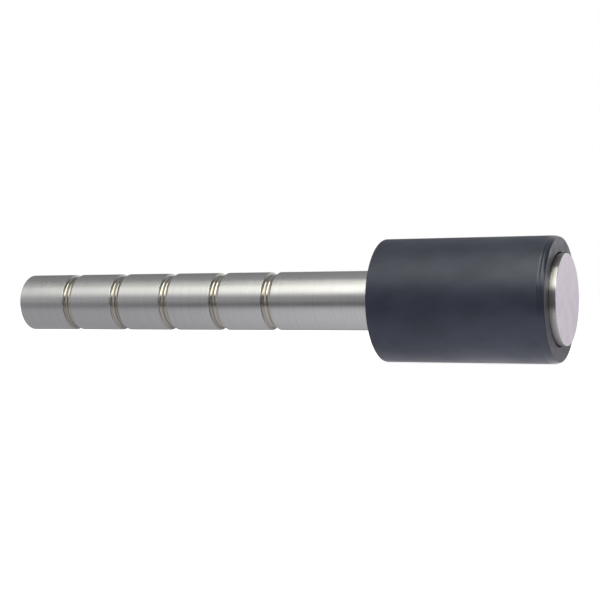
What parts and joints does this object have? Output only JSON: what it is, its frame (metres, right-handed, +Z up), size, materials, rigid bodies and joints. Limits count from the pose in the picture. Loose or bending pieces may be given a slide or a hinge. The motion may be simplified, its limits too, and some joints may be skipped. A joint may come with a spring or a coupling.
{
  "type": "magnetic nail sweeper",
  "caption": "Hand-held magnetic nail pick-up wand: grooved steel rod grip, steel pole disc and a spring-returned plastic sleeve that slides forward to push the nails off.",
  "frame": {"origin": "centre of the flat pole face at the front end", "axes": "+X along the tool's axis, out of the pole face; the rod runs back along -X; +Z up with the tool lying level"},
  "size_m": [0.252, 0.0508, 0.0508],
  "materials": {
    "turned_stainless": "satin turned, polished in the grooves, ground on the pole face",
    "steel": "plain machined",
    "nickel_plate": "bright plated",
    "brass": "turned",
    "nylon": "natural",
    "red_fibre": "matt pressed fibre",
    "black_rubber": "matt",
    "blue_grey_plastic": "satin, faintly mottled"
  },
  "bodies": {
    "handle": {"grip_rod": "turned_stainless", "centre_stud": "steel", "grub_screw": "steel", "lock_washer": "steel", "back_plate": "steel", "guide_ring": "nylon", "magnet_ring_front": "nickel_plate", "magnet_ring_rear": "nickel_plate", "spacer_tube": "brass", "magnet_shell": "turned_stainless", "stop_ring_front": "red_fibre", "pole_disc": "turned_stainless", "return_spring": "steel"},
    "slider": {"spring_seat": "steel"},
    "sleeve": {"stripper_sleeve": "blue_grey_plastic", "rear_cap": "blue_grey_plastic", "guide_bush": "brass", "stop_ring_rear": "black_rubber", "rod_wiper": "black_rubber", "snap_ring": "steel"}
  },
  "joints": [
    {"name": "sleeve_slide", "type": "slide", "parent": "handle", "child": "slider", "axis": [1, 0, 0], "range_m": [0, 0.017], "stiffness_N_per_m": 880, "springref_m": -0.012, "deforming": ["return_spring"]},
    {"name": "sleeve_spin", "type": "hinge", "parent": "slider", "child": "sleeve", "pos_m": [-0.0394, 0, 0], "axis": [1, 0, 0], "continuous": true}
  ]
}
